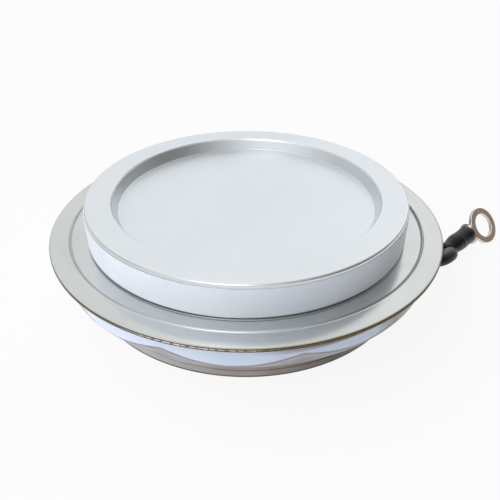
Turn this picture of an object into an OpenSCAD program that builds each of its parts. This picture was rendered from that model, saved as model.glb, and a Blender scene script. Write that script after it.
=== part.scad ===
// Disc thyristor in a ceramic capsule. Two recessed pole pieces close a glazed ring, their weld
// sheets meet at the brim, and the pressed silicon stack and the gate contact lie inside.
// Millimetres, Z up the axis, origin at the centre of the lower seating land.

/* [Ceramic ring] */
// Outer radius of the ceramic, which the other radii follow
ceramic_r = 35.9; // [33:0.1:40]
// Wall of the ceramic
ceramic_wall = 3.7; // [3.2:0.1:4.2]
// Height of the ceramic
ceramic_h = 4.65; // [4:0.05:8]
// Rounding of the ceramic's outer edges
ceramic_round = 0.4; // [0.2:0.1:1]
// Thickness of each braze washer
braze_t = 0.1; // [0.05:0.05:0.2]
// Width that the braze washers keep clear of the ceramic's outer edge
braze_margin = 1.1; // [1:0.1:1.5]

/* [Lower electrode] */
// How far the lower electrode's wall stays inside the ceramic's outside
base_inset = 4.4; // [4:0.1:5]
// Height of the lower electrode's wall up to its shoulder
base_h = 6.1; // [5:0.1:9]
// Height of the pedestal above that shoulder
pedestal_h = 0.9; // [0.6:0.1:1.1]
// Chamfer at the foot of the wall
base_chamfer = 0.2; // [0.1:0.1:1]
// Width of the braze washer on its shoulder
base_braze_w = 2.6; // [2:0.1:3]

/* [Contact recesses] */
// Width of the upper electrode's land round the recess
land_w = 4.9; // [3:0.1:8]
// Width of the recess's sloping edge
recess_slope = 1.2; // [0.6:0.1:2]
// Depth of the contact face below the land
recess_depth = 2.25; // [1:0.05:2.8]

/* [Weld sheets] */
// Thickness of the weld sheets and the seat flange
sheet_t = 0.35; // [0.3:0.05:0.6]
// How far the closed brim stands out past the ceramic
brim_overhang = 2.1; // [1.9:0.1:5]
// How far the weld stands out past the sheets
weld_bulge = 0.3; // [0.1:0.05:0.4]
// Depth of the channel below the brim's top
channel_depth = 0.27; // [0.2:0.01:1]
// Height of the bead above the brim's top
bead_h = 0.3; // [0.1:0.05:0.6]
// Width of the bead
bead_w = 0.25; // [0.2:0.05:1]
// Width of the riser on either side of the bead
riser_w = 0.3; // [0.25:0.05:0.6]
// Width of the brim's flat outside the bead
brim_flat = 3.25; // [2.4:0.05:3.4]
// Gap between the two sheets under the channel
sheet_gap = 0.13; // [0.05:0.01:0.4]

/* [Upper electrode] */
// How far the upper electrode's wall stays inside the ceramic's outside
cap_inset = 5; // [4.5:0.1:7]
// Height of that wall
cap_h = 6.45; // [6:0.05:10]
// Width of the shoulder outside the spigot that passes through the upper sheet
shoulder_w = 2.9; // [2:0.1:4]
// Rounding of the land's outer edge
land_round = 0.45; // [0.1:0.05:0.6]
// Thickness of copper left between the contact face and the gate bore
gate_web = 1.5; // [1:0.1:2]

/* [Label] */
// Thickness of the label film
label_t = 0.12; // [0.08:0.01:0.2]
// Bare wall left under the label
label_foot = 0.3; // [0.2:0.05:1]
// Bare wall left over the label
label_head = 0.8; // [0.6:0.05:1.2]
// Angle of the overlap at the label's seam
label_lap = 14; // [5:1:30]
// Direction of the label's seam
label_seam = 96; // [90:1:180]

/* [Pressed stack] */
// Radius of the anode disc
chip_r = 22.5; // [21.5:0.1:22.6]
// Thickness of the anode disc
anode_t = 1.9; // [1.6:0.1:2.1]
// Thickness of the silicon wafer
wafer_t = 0.7; // [0.5:0.05:0.9]
// Width of the anode disc left free round the wafer
wafer_margin = 1.2; // [1:0.1:1.5]
// Width of the wafer's bevel
wafer_bevel = 0.5; // [0.2:0.1:0.6]
// Width of the wafer's top left free round the cathode disc
cathode_margin = 1; // [0.8:0.1:2]
// Thickness of the cathode disc
cathode_t = 0.8; // [0.6:0.05:1]
// Thickness of the silver contact foils
foil_t = 0.1; // [0.05:0.05:0.15]
// Wall of the locating ring
locator_wall = 1.9; // [1:0.1:2]
// Height of the locating ring
locator_h = 3.1; // [2:0.1:3.2]

/* [Gate contact] */
// Direction of the gate feedthrough
gate_angle = -17; // [-40:1:40]
// Outer radius of the feedthrough tube
gate_tube_r = 1.2; // [1.1:0.05:1.25]
// Bore radius of the feedthrough tube
gate_tube_bore_r = 0.6; // [0.55:0.05:0.7]
// Radius of the collar on the tube's outer end
gate_collar_r = 1.7; // [1.5:0.05:1.75]
// Thickness of that collar
gate_collar_t = 0.4; // [0.3:0.05:0.6]
// Radius of the centre bore that holds the insulating cup
gate_bore_r = 3.8; // [3.6:0.1:5]
// Radius of the gate pin's stem
gate_pin_r = 0.75; // [0.5:0.05:0.9]
// Radius of the gate pin's collar
gate_pin_collar_r = 2; // [1.8:0.05:2.1]
// Radius of the bush round the pin in the cathode disc
gate_bush_r = 2.4; // [1.6:0.1:3]
// Radius of the spring's wire
spring_wire_r = 0.2; // [0.15:0.05:0.25]
// Turns of the gate spring
spring_turns = 4; // [3:1:5]
// Radius of the bare gate wire
gate_wire_r = 0.4; // [0.3:0.05:0.45]
// Outer radius of the wire's insulating sleeve
wire_sleeve_r = 0.8; // [0.7:0.05:0.85]

/* [Gate lead] */
// Radius of the black gate lead
lead_r = 1.1; // [0.9:0.05:1.15]
// Radius of the lead's stranded core
core_r = 0.75; // [0.5:0.05:0.75]
// Wall of the heavy shrink sleeve where it covers the lug's barrel
lug_sleeve_wall = 0.45; // [0.3:0.05:0.45]
// Length of that sleeve
lug_sleeve_len = 9.1; // [7:0.1:9.1]

/* [Ring lug] */
// Outer radius of the lug's ring
lug_r = 4.1; // [3.8:0.1:4.1]
// Radius of the lug's hole
lug_hole_r = 2.65; // [2.1:0.05:2.65]
// Thickness of the lug's sheet
lug_t = 0.8; // [0.6:0.1:0.8]
// Length of the crimp barrel
barrel_len = 4.6; // [4:0.1:5]
// Outer radius of the crimp barrel
barrel_r = 1.6; // [1.4:0.05:1.6]
// Turn of the lug's ring about the lead
lug_roll = 50; // [40:1:50]

/* [Hidden] */
$fn = 96;
// Overrun of every cutting shape past the face it opens
cut = 0.5;
// Clearance of pieces that slip into each other
slip = 0.1;
// Break of a recess's edge and of small moulded edges
edge_break = 0.3;
// How far the foils and the lower and upper braze washers stay inside their seat's edge
seat_inset = 0.5;
// Clearance of the gate wire's sleeve in the slot and under the spigot
wire_clear = 0.2;

// Heights, from the seating land up through the housing
z_shoulder = base_h;
z_seat = z_shoulder + braze_t;
z_ceramic = z_seat + sheet_t + braze_t;
z_ceramic_top = z_ceramic + ceramic_h;
z_lower_sheet = z_ceramic_top + braze_t;
z_channel = z_lower_sheet + sheet_t + sheet_gap;
z_brim_mid = z_channel + channel_depth;
z_brim_top = z_brim_mid + sheet_t;
z_cap = z_channel + sheet_t + braze_t;
z_land = z_cap + cap_h;
z_contact = z_land - recess_depth;

// Heights of the pressed stack
z_pedestal = z_shoulder + pedestal_h;
z_anode = z_pedestal + foil_t;
z_wafer = z_anode + anode_t;
z_cathode = z_wafer + wafer_t;
z_upper_foil = z_cathode + cathode_t;
z_boss = z_upper_foil + foil_t;
spigot_out = 0.2;
z_spigot = z_channel - spigot_out;

// Radii of the housing, from the ceramic
ceramic_bore_r = ceramic_r - ceramic_wall;
base_r = ceramic_r - base_inset;
cap_r = ceramic_r - cap_inset;
spigot_r = cap_r - shoulder_w;
recess_r = cap_r - land_w;
contact_r = recess_r - recess_slope;

// Radii of the pressed stack
wafer_r = chip_r - wafer_margin;
bevel_r = wafer_r - wafer_bevel;
cathode_r = bevel_r - cathode_margin;
boss_margin = 0.4;
boss_r = cathode_r + boss_margin;

// Radii of the weld sheets, inwards from the brim
brim_r = ceramic_r + brim_overhang;
sheet_r = brim_r - weld_bulge;
bead_out_r = brim_r - brim_flat;
bead_in_r = bead_out_r - 2 * riser_w - bead_w;
locator_in_r = chip_r + slip;
locator_out_r = locator_in_r + locator_wall;
seat_bore_r = locator_out_r + edge_break;
seat_r = ceramic_r - braze_margin;

// Label, on the wall between the bare foot and head
z_label = z_cap + label_foot;
label_h = cap_h - label_foot - label_head;

// Gate contact
z_gate = z_ceramic + ceramic_h / 2;
z_bore_top = z_contact - gate_web;
cup_r = gate_bore_r - slip / 2;
cup_bore_r = gate_pin_collar_r + 2 * slip;
spring_r = gate_pin_collar_r - spring_wire_r - slip;
cup_top_t = 0.9;
wire_rise = 1.2;
z_wire = z_boss + wire_rise;
pin_collar_h = 2 * gate_wire_r;
z_pin_collar = z_wire - gate_wire_r;
z_spring = z_pin_collar + pin_collar_h + spring_wire_r;
z_spring_top = z_bore_top - cup_top_t - spring_wire_r;
spring_steps = 14;
slot_w = 2 * (wire_sleeve_r + wire_clear);
slot_past_boss = 4.2;
slot_r = boss_r + slot_past_boss;
slot_top = z_wire + wire_sleeve_r + wire_clear;
tube_inside = 1.2;
tube_in_r = ceramic_bore_r - tube_inside;
tube_out_r = ceramic_r + slip + gate_collar_t;
z_wire_low = z_spigot - wire_sleeve_r - wire_clear;
// The wire drops out of the slot, then again to the feedthrough, each over a length that ends short
wire_drop_len = [4.6, 4];
wire_drop_end = [slot_r - 0.3, tube_in_r - 0.4];
wire_steps = 30;
wire_strip = 1;

// Lead route: straight out of the feedthrough, then down to the lug that lies beside the part
gate_dir = [cos(gate_angle), sin(gate_angle), 0];
lead_start = tube_out_r * gate_dir + [0, 0, z_gate];
lead_route = [
  [37.28, -9.96, 8.88], [39.48, -7.88, 8.48], [40.49, -5.47, 7.53], [40.67, -3.57, 6.12], [40.61, -1.89, 3.93],
  [40.9, -0.31, 2.67], [41.66, 1.48, 2.04], [42.9, 3.3, 2.03], [44.51, 4.81, 2.2], [46.3, 6.4, 2.3],
];
// Point inside the feedthrough that sets the direction in which the lead leaves
lead_guide = lead_start - 2.4 * gate_dir;
lead_rings = 3;
lead_sides = 8;
lead_end = lead_route[len(lead_route) - 1];
lug_azimuth = 42;
lug_tilt = 2.5;
// Bare neck between the barrel and the ring
lug_neck = 0.4;
barrel_drop = barrel_r - lug_t / 2;
lug_centre_x = barrel_len + lug_neck + lug_r;
// How far the strands stand out of the barrel
core_out = 1;
// Barrel left bare in front of the sleeve
barrel_bare = 0.3;
lug_dir = [cos(lug_azimuth) * cos(lug_tilt), sin(lug_azimuth) * cos(lug_tilt), sin(lug_tilt)];

// Profiles

// Step from 0 to 1 with level ends, for risers and bends
function ease(t) = let (u = min(max(t, 0), 1)) u * u * (3 - 2 * u);

// Part of the way from a to b
function way(a, b, t) = a + (b - a) * t;

// Eased riser from one [radius, height] to another
function riser(a, b, steps = 6) =
  [for (i = [0:steps]) [way(a[0], b[0], i / steps), way(a[1], b[1], ease(i / steps))]];

// Points of a rounded corner about a centre, in degrees
function corner(c, r, from, to, steps = 6) =
  [for (i = [0:steps]) let (a = way(from, to, i / steps)) c + r * [cos(a), sin(a)]];

// Closed outline of a sheet of even thickness whose top follows a line
function sheet_outline(line, t) =
  concat(line, [for (i = [len(line) - 1:-1:0]) line[i] - [0, t]]);

// Swept tubes

function unit(v) = v / norm(v);

// Point on a smooth line through the points, at span i and share t
function spline_at(p, i, t) =
  let (
    n = len(p) - 1,
    b = p[i],
    c = p[i + 1],
    a = i == 0 ? 2 * b - c : p[i - 1],
    d = i + 1 == n ? 2 * c - b : p[i + 2]
  )
  0.5 * (2 * b + (c - a) * t + (2 * a - 5 * b + 4 * c - d) * t * t
    + (3 * b - a - 3 * c + d) * t * t * t);

function spline(p, steps) =
  concat([for (i = [0:len(p) - 2]) for (k = [0:steps - 1]) spline_at(p, i, k / steps)],
    [p[len(p) - 1]]);

function heading(p, i) = unit(p[min(i + 1, len(p) - 1)] - p[max(i - 1, 0)]);

// One ring of points round a point of the line, square to a direction
function ring_at(c, t, r, sides) =
  let (u = unit(cross([0, 0, 1], t)), v = cross(t, u))
  [for (k = [0:sides - 1]) c + r * (cos(360 * k / sides) * u + sin(360 * k / sides) * v)];

// Round tube along a line of points, whose ends may be cut square to given directions
module swept(p, r, sides, ends) {
  n = len(p) - 1;
  last = n * sides;
  along = [for (i = [0:n])
    is_undef(ends) || (i > 0 && i < n) ? heading(p, i) : ends[i == 0 ? 0 : 1]];
  polyhedron(
    points = [for (i = [0:n]) each ring_at(p[i], along[i], r, sides)],
    faces = concat(
      [[for (k = [0:sides - 1]) k]],
      [[for (k = [sides - 1:-1:0]) last + k]],
      [for (i = [0:n - 1]) for (k = [0:sides - 1])
        let (a = i * sides + k, b = i * sides + (k + 1) % sides) each
          [[a, a + sides, b], [b, a + sides, b + sides]]]
    )
  );
}

module turned(outline) {
  rotate_extrude($fn = 180) polygon(outline);
}

module ring(inner, outer, height, z) {
  turned([[inner, z], [outer, z], [outer, z + height], [inner, z + height]]);
}

// Cylinder that points outwards along the gate's direction
module gatewards(r, from, to, z) {
  rotate([0, 0, gate_angle]) translate([from, 0, z]) rotate([0, 90, 0])
    cylinder(r = r, h = to - from, $fn = 48);
}

// Housing

module lower_electrode() {
  lip = [recess_r - edge_break, edge_break];
  color([0.62, 0.6, 0.58]) turned(concat(
    [[0, recess_depth], [contact_r, recess_depth], lip, [recess_r, 0]],
    [[base_r - base_chamfer, 0], [base_r, base_chamfer], [base_r, z_shoulder]],
    [[chip_r, z_shoulder], [chip_r, z_pedestal], [0, z_pedestal]]
  ));
}

module base_braze_ring() {
  color([0.75, 0.74, 0.7]) ring(base_r - seat_inset - base_braze_w, base_r - seat_inset, braze_t, z_shoulder);
}

module seat_flange() {
  color([0.7, 0.7, 0.7]) ring(seat_bore_r, seat_r, sheet_t, z_seat);
}

module ceramic_braze_lower() {
  color([0.75, 0.74, 0.7]) ring(ceramic_bore_r + slip, seat_r - slip, braze_t, z_ceramic - braze_t);
}

module ceramic_ring() {
  low = z_ceramic + ceramic_round;
  high = z_ceramic_top - ceramic_round;
  core = ceramic_r - ceramic_round;
  color([0.86, 0.9, 0.97]) difference() {
    turned(concat(
      [[ceramic_bore_r, z_ceramic]],
      corner([core, low], ceramic_round, -90, 0),
      corner([core, high], ceramic_round, 0, 90),
      [[ceramic_bore_r, z_ceramic_top]]
    ));
    gatewards(gate_tube_r + slip / 2, ceramic_bore_r - cut, ceramic_r + cut, z_gate);
  }
}

module ceramic_braze_upper() {
  color([0.75, 0.74, 0.7]) ring(ceramic_bore_r + slip, seat_r - slip, braze_t, z_ceramic_top);
}

module lower_weld_flange() {
  low = z_lower_sheet + sheet_t;
  line = concat(
    [[ceramic_bore_r, low]],
    riser([bead_in_r, low], [bead_out_r, z_brim_mid]),
    [[sheet_r, z_brim_mid]]
  );
  color([0.6, 0.59, 0.55]) turned(sheet_outline(line, sheet_t));
}

module upper_weld_flange() {
  channel = z_channel + sheet_t;
  bead = z_brim_top + bead_h;
  line = concat(
    [[spigot_r + slip, channel]],
    riser([bead_in_r, channel], [bead_in_r + riser_w, bead]),
    riser([bead_out_r - riser_w, bead], [bead_out_r, z_brim_top]),
    [[sheet_r, z_brim_top]]
  );
  color([0.78, 0.79, 0.79]) turned(sheet_outline(line, sheet_t));
}

module rim_weld() {
  bulge = [for (a = [-90:15:90]) [sheet_r + weld_bulge * cos(a), z_brim_mid + sheet_t * sin(a)]];
  color([0.35, 0.31, 0.25]) turned(bulge);
}

module cap_braze_ring() {
  color([0.75, 0.74, 0.7]) ring(spigot_r + slip, cap_r - seat_inset, braze_t, z_cap - braze_t);
}

module upper_electrode() {
  lip = [recess_r - edge_break, z_land - edge_break];
  color([0.85, 0.87, 0.88]) difference() {
    turned(concat(
      [[0, z_boss], [boss_r, z_boss], [boss_r, z_spigot], [spigot_r, z_spigot]],
      [[spigot_r, z_cap], [cap_r, z_cap]],
      corner([cap_r - land_round, z_land - land_round], land_round, 0, 90),
      [[recess_r, z_land], lip, [contact_r, z_contact], [0, z_contact]]
    ));
    translate([0, 0, z_boss - cut])
      cylinder(r = gate_bore_r, h = z_bore_top - z_boss + cut, $fn = 72);
    rotate([0, 0, gate_angle]) translate([0, -slot_w / 2, z_boss - cut])
      cube([slot_r, slot_w, slot_top - z_boss + cut]);
  }
}

// Film wound once round the wall, and a little over its own start
module label_band() {
  color([0.93, 0.96, 1]) {
    ring(cap_r, cap_r + label_t, label_h, z_label);
    rotate([0, 0, label_seam]) rotate_extrude(angle = label_lap, $fn = 180)
      translate([cap_r + label_t / 2, z_label]) square([1.5 * label_t, label_h]);
  }
}

// Pressed stack

module lower_silver_foil() {
  color([0.9, 0.9, 0.92]) ring(0, chip_r - seat_inset, foil_t, z_pedestal);
}

module anode_molybdenum_disc() {
  color([0.45, 0.46, 0.5]) ring(0, chip_r, anode_t, z_anode);
}

module silicon_wafer() {
  color([0.25, 0.28, 0.36])
    turned([[0, z_wafer], [wafer_r, z_wafer], [bevel_r, z_cathode], [0, z_cathode]]);
}

module junction_coating() {
  over = 0.35;
  top = z_cathode + over;
  rim = chip_r - 2 * slip;
  lap = bevel_r - over;
  color([0.95, 0.95, 0.95]) turned([
    [wafer_r, z_wafer], [rim, z_wafer], [rim - slip, z_wafer + wafer_t / 2],
    [rim - over, top - slip], [wafer_r - slip, top], [lap + slip, top - slip],
    [lap, z_cathode], [bevel_r, z_cathode]
  ]);
}

module cathode_molybdenum_disc() {
  color([0.45, 0.46, 0.5]) ring(gate_bush_r + slip, cathode_r, cathode_t, z_cathode);
}

module upper_silver_foil() {
  color([0.9, 0.9, 0.92]) ring(gate_bore_r, cathode_r - seat_inset, foil_t, z_upper_foil);
}

module locating_ring() {
  inner = locator_in_r;
  outer = locator_out_r;
  top = z_shoulder + locator_h;
  color([0.9, 0.88, 0.8]) turned([
    [inner, z_shoulder], [outer, z_shoulder], [outer, top - edge_break],
    [outer - edge_break, top], [inner + edge_break, top], [inner, top - edge_break]
  ]);
}

// Gate contact

module gate_cup() {
  color([0.9, 0.9, 0.86]) difference() {
    translate([0, 0, z_boss]) cylinder(r = cup_r, h = z_bore_top - z_boss, $fn = 72);
    translate([0, 0, z_boss - cut])
      cylinder(r = cup_bore_r, h = z_bore_top - cup_top_t - z_boss + cut, $fn = 72);
    rotate([0, 0, gate_angle]) translate([0, -slot_w / 2, z_boss - cut])
      cube([gate_bore_r + cut, slot_w, slot_top - z_boss + cut]);
  }
}

// Rest on the pin's collar and press on the cup, along one helix
module gate_spring() {
  steps = round(spring_turns * spring_steps);
  line = [for (i = [0:steps]) let (a = 360 * i / spring_steps)
    [spring_r * cos(a), spring_r * sin(a), way(z_spring, z_spring_top, i / steps)]];
  color([0.7, 0.7, 0.68]) swept(line, spring_wire_r, 6);
}

module gate_pin() {
  guide_h = 0.8;
  stem_top = z_pin_collar + pin_collar_h + guide_h;
  guide_r = spring_r - spring_wire_r - slip;
  color([0.88, 0.88, 0.9]) turned([
    [0, z_cathode], [gate_pin_r, z_cathode], [gate_pin_r, z_pin_collar],
    [gate_pin_collar_r, z_pin_collar], [gate_pin_collar_r, z_pin_collar + pin_collar_h],
    [guide_r, z_pin_collar + pin_collar_h], [guide_r, stem_top - edge_break],
    [guide_r - edge_break, stem_top], [0, stem_top]
  ]);
}

module gate_bush() {
  color([0.92, 0.9, 0.82]) ring(gate_pin_r + slip, gate_bush_r, cathode_t, z_cathode);
}

// Height of the gate wire at a distance from the axis
function wire_z(r) =
  z_wire
  - (z_wire - z_wire_low) * ease(1 + (r - wire_drop_end[0]) / wire_drop_len[0])
  - (z_wire_low - z_gate) * ease(1 + (r - wire_drop_end[1]) / wire_drop_len[1]);

function wire_line(from, to) =
  [for (i = [0:wire_steps]) let (r = way(from, to, i / wire_steps))
    [r * cos(gate_angle), r * sin(gate_angle), wire_z(r)]];

module gate_wire() {
  color([0.85, 0.85, 0.86]) swept(wire_line(gate_pin_collar_r, tube_out_r - 2 * slip), gate_wire_r, 8);
}

module gate_wire_sleeve() {
  from = gate_pin_collar_r + wire_strip;
  to = tube_in_r - slip;
  color([0.92, 0.92, 0.92]) difference() {
    swept(wire_line(from, to), wire_sleeve_r, 8);
    swept(wire_line(from - cut, to + cut), gate_wire_r + slip, 8);
  }
}

module gate_tube() {
  color([0.72, 0.7, 0.62]) difference() {
    union() {
      gatewards(gate_tube_r, tube_in_r, tube_out_r, z_gate);
      gatewards(gate_collar_r, tube_out_r - gate_collar_t, tube_out_r, z_gate);
    }
    gatewards(gate_tube_bore_r, tube_in_r - cut, tube_out_r + cut, z_gate);
  }
}

// Gate lead

module gate_lead() {
  line = spline(concat([lead_guide, lead_start], lead_route), lead_rings);
  outside = [for (i = [lead_rings:len(line) - 1]) line[i]];
  color([0.13, 0.13, 0.14]) swept(outside, lead_r, lead_sides, [gate_dir, lug_dir]);
}

// Puts a piece into the lug's frame: X runs out along the barrel from the lead's end
module on_lead_end() {
  translate(lead_end) rotate([0, 0, lug_azimuth]) rotate([0, -lug_tilt, 0]) children();
}

module along_x(r, from, to) {
  translate([from, 0, 0]) rotate([0, 90, 0]) cylinder(r = r, h = to - from, $fn = 48);
}

module lead_core() {
  color([0.75, 0.72, 0.7]) on_lead_end() along_x(core_r, 0, barrel_len + core_out);
}

// Grips the barrel in front and the thinner lead behind it
module lug_sleeve() {
  front = barrel_len - barrel_bare;
  color([0.1, 0.1, 0.11]) on_lead_end() difference() {
    along_x(barrel_r + lug_sleeve_wall, front - lug_sleeve_len, front);
    along_x(barrel_r, 0, front + cut);
    along_x(lead_r + slip, front - lug_sleeve_len - cut, cut);
  }
}

// Ring and neck of one sheet, rolled into the barrel at its near end
module ring_lug() {
  root_x = barrel_len - barrel_bare + slip;
  neck_w = 2 * (barrel_r - slip);
  low = barrel_drop - lug_t / 2;
  color([0.62, 0.57, 0.54]) on_lead_end() rotate([lug_roll, 0, 0]) difference() {
    union() {
      along_x(barrel_r, 0, barrel_len);
      translate([lug_centre_x, 0, low]) cylinder(r = lug_r, h = lug_t, $fn = 96);
      translate([root_x, -neck_w / 2, low])
        cube([lug_centre_x - lug_hole_r - root_x, neck_w, lug_t]);
    }
    along_x(core_r, -cut, barrel_len + core_out + cut);
    translate([lug_centre_x, 0, low - cut]) cylinder(r = lug_hole_r, h = lug_t + 2 * cut, $fn = 96);
  }
}

lower_electrode();
base_braze_ring();
seat_flange();
ceramic_braze_lower();
ceramic_ring();
ceramic_braze_upper();
lower_weld_flange();
upper_weld_flange();
rim_weld();
cap_braze_ring();
upper_electrode();
label_band();
lower_silver_foil();
anode_molybdenum_disc();
silicon_wafer();
junction_coating();
cathode_molybdenum_disc();
upper_silver_foil();
locating_ring();
gate_cup();
gate_spring();
gate_pin();
gate_bush();
gate_wire();
gate_wire_sleeve();
gate_tube();
gate_lead();
lead_core();
lug_sleeve();
ring_lug();
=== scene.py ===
import bmesh
import bpy
import numpy as np
from mathutils import Matrix


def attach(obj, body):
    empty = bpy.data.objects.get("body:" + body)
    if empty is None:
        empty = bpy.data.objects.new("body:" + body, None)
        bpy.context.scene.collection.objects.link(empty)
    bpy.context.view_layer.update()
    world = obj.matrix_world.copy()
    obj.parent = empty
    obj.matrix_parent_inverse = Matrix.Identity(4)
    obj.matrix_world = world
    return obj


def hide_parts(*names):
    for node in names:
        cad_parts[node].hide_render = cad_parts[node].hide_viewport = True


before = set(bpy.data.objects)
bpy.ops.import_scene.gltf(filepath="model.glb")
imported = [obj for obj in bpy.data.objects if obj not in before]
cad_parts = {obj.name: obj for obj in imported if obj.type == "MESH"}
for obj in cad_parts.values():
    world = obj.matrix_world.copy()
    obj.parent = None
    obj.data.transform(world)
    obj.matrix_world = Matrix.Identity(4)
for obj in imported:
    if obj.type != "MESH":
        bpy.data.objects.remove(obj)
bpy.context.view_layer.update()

mm = 0.001
scene = bpy.context.scene
print("frame loaded:", len(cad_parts), "nodes")


def shown(name, data):
    # New object of the scene
    made = bpy.data.objects.new(name, data)
    scene.collection.objects.link(made)
    return made


# Camera at the photograph's view, with no shift
cameraView = {"place": (0, -0.0978735, 0.0691166), "right": (0.999978, -0.0065668, 0.0009605),
              "up": (0.0028073, 0.549675, 0.8353739), "ahead": (0.0060137, 0.8353528, -0.5496813),
              "lens": 40.507, "sensor": 36, "nearest": 0.001}
cameraData = bpy.data.cameras.new("photoCamera")
cameraData.lens = cameraView["lens"]
cameraData.sensor_width = cameraView["sensor"]
cameraData.clip_start = cameraView["nearest"]
camera = shown("photoCamera", cameraData)
turn = Matrix((cameraView["right"], cameraView["up"], [-c for c in cameraView["ahead"]])).transposed()
camera.matrix_world = Matrix.Translation(cameraView["place"]) @ turn.to_4x4()
scene.camera = camera


# Shapes. An arc and the point held beside it take at most these shares of a side, and straight is the cosine of
# the flattest corner. Points this near to each other merge, and edges from this angle are sharp
meshing = {"arcShare": 0.44, "heldShare": 0.47, "straight": 0.999999, "merge": 1e-8, "sharp": 42}


def unit(v):
    return v / np.linalg.norm(v, axis=-1, keepdims=True)


def ease(t):
    # Step from 0 to 1 with level ends, 3t^2 - 2t^3
    t = np.clip(t, 0, 1)
    return t * t * (3 - 2 * t)


def evenly(count):
    # UV steps of a wrapped direction with that many rows
    return np.arange(count + 1) / count


def angles(count):
    return np.linspace(0, 2 * np.pi, count, endpoint=False)[:, None]


def spin(r, z, a):
    # Points at radii r and heights z, at the angles a round the Z axis
    x = r * np.cos(a)
    return np.stack([x, r * np.sin(a), np.broadcast_to(z, x.shape)], -1)


def curveThrough(points, steps):
    # Smooth line through the points: on each span the cubic whose slope at a point is half the way between its
    # neighbours. Returns all spans, and the last point
    p = np.asarray(points, float)
    p = np.vstack([2 * p[0] - p[1], p, 2 * p[-1] - p[-2]])
    a, b, c, d = (p[k : len(p) - 3 + k, None] for k in range(4))
    t = (np.arange(steps) / steps)[None, :, None]
    line = 0.5 * (2 * b + (c - a) * t + (2 * a - 5 * b + 4 * c - d) * t**2 + (3 * b - a - 3 * c + d) * t**3)
    return np.vstack([line.reshape(-1, 3), p[-2]])


def softened(corners, radii, closed=True, steps=6, hold=0.06):
    # Outline of (radius, height) corners with an arc in place of each, and a point held on both sides of it, so
    # that the flats shade level. The second result is 1 on the arcs, else 0
    p = np.asarray(corners, float)
    r = np.broadcast_to(np.asarray(radii, float), len(p))
    q = np.vstack([p[-1], p, p[0]]) if closed else p
    r = r if closed else r[1:-1]
    mid, back, ahead = q[1:-1], q[:-2] - q[1:-1], q[2:] - q[1:-1]
    room = np.minimum(np.linalg.norm(back, axis=1), np.linalg.norm(ahead, axis=1))[:, None]
    back, ahead = unit(back), unit(ahead)
    halfAngle = (np.arccos(np.clip((back * ahead).sum(1), -meshing["straight"], 1)) / 2)[:, None]
    reach = np.minimum(r[:, None] / np.tan(halfAngle), meshing["arcShare"] * room)
    r = reach * np.tan(halfAngle)
    centre = mid + unit(back + ahead) * r / np.sin(halfAngle)
    s = np.linspace(0, 1, steps)[None, :, None]
    spoke = (1 - s) * (mid + back * reach - centre)[:, None] + s * (mid + ahead * reach - centre)[:, None]
    arc = centre[:, None] + unit(spoke) * r[:, None]
    out = np.minimum(reach + hold, meshing["heldShare"] * room)
    line = np.concatenate([(mid + back * out)[:, None], arc, (mid + ahead * out)[:, None]], 1).reshape(-1, 2)
    edge = np.tile(np.r_[0, np.ones(steps), 0], len(mid))
    if not closed:
        line, edge = np.vstack([p[0], line, p[-1]]), np.r_[0, edge, 0]
    return line, edge


def skin(name, grid, around, along, wrapAround=True, wrapAlong=False, edge=None):
    # Quads between neighbouring points of a grid (around, along, 3) in millimetres. A wrapped direction joins
    # its last row to its first, and points in one place are merged. around and along give the UV coordinates
    n, m = grid.shape[:2]
    rows, columns = np.arange(n if wrapAround else n - 1), np.arange(m if wrapAlong else m - 1)
    i, j = (k.ravel() for k in np.meshgrid(rows, columns, indexing="ij"))
    corner = [(i, j), (i + 1, j), (i + 1, j + 1), (i, j + 1)]
    quads = np.stack([(a % n) * m + b % m for a, b in corner], 1)
    uv = np.stack([np.stack([around[a], along[b]], 1) for a, b in corner], 1).reshape(-1, 2)
    mesh = bpy.data.meshes.new(name)
    mesh.from_pydata((grid * mm).reshape(-1, 3), [], quads)
    mesh.uv_layers.new(name="UVMap").uv.foreach_set("vector", uv.ravel())
    if edge is not None:
        mesh.attributes.new("edge", "FLOAT", "POINT").data.foreach_set("value", np.tile(edge, n))
    shape = bmesh.new()
    shape.from_mesh(mesh)
    bmesh.ops.remove_doubles(shape, verts=shape.verts, dist=meshing["merge"])
    if shape.calc_volume(signed=True) < 0:
        bmesh.ops.reverse_faces(shape, faces=shape.faces)
    shape.to_mesh(mesh)
    shape.free()
    mesh.shade_smooth()
    mesh.set_sharp_from_angle(angle=np.radians(meshing["sharp"]))
    return shown(name, mesh)


def spun(name, outline, closed=True, turns=288, change=None):
    # Surface of revolution of an outline. change gives what is added to its radius for each angle and point
    line, edge = outline
    a = angles(turns)
    grid = spin(line[:, 0] + (change(a, line) if change else 0), line[:, 1], a)
    looped = np.vstack([line, line[0]])
    along = np.r_[0, np.cumsum(np.linalg.norm(np.diff(looped, axis=0), axis=1))]
    return skin(name, grid, evenly(turns), along, True, closed, edge)


def framesAlong(line):
    # Heading of a line and two directions square to it, at each point, the first of the two kept level
    heading = unit(np.gradient(line, axis=0))
    side = unit(np.cross([0, 0, 1.0], heading))
    return heading, side, np.cross(heading, side)


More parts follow.
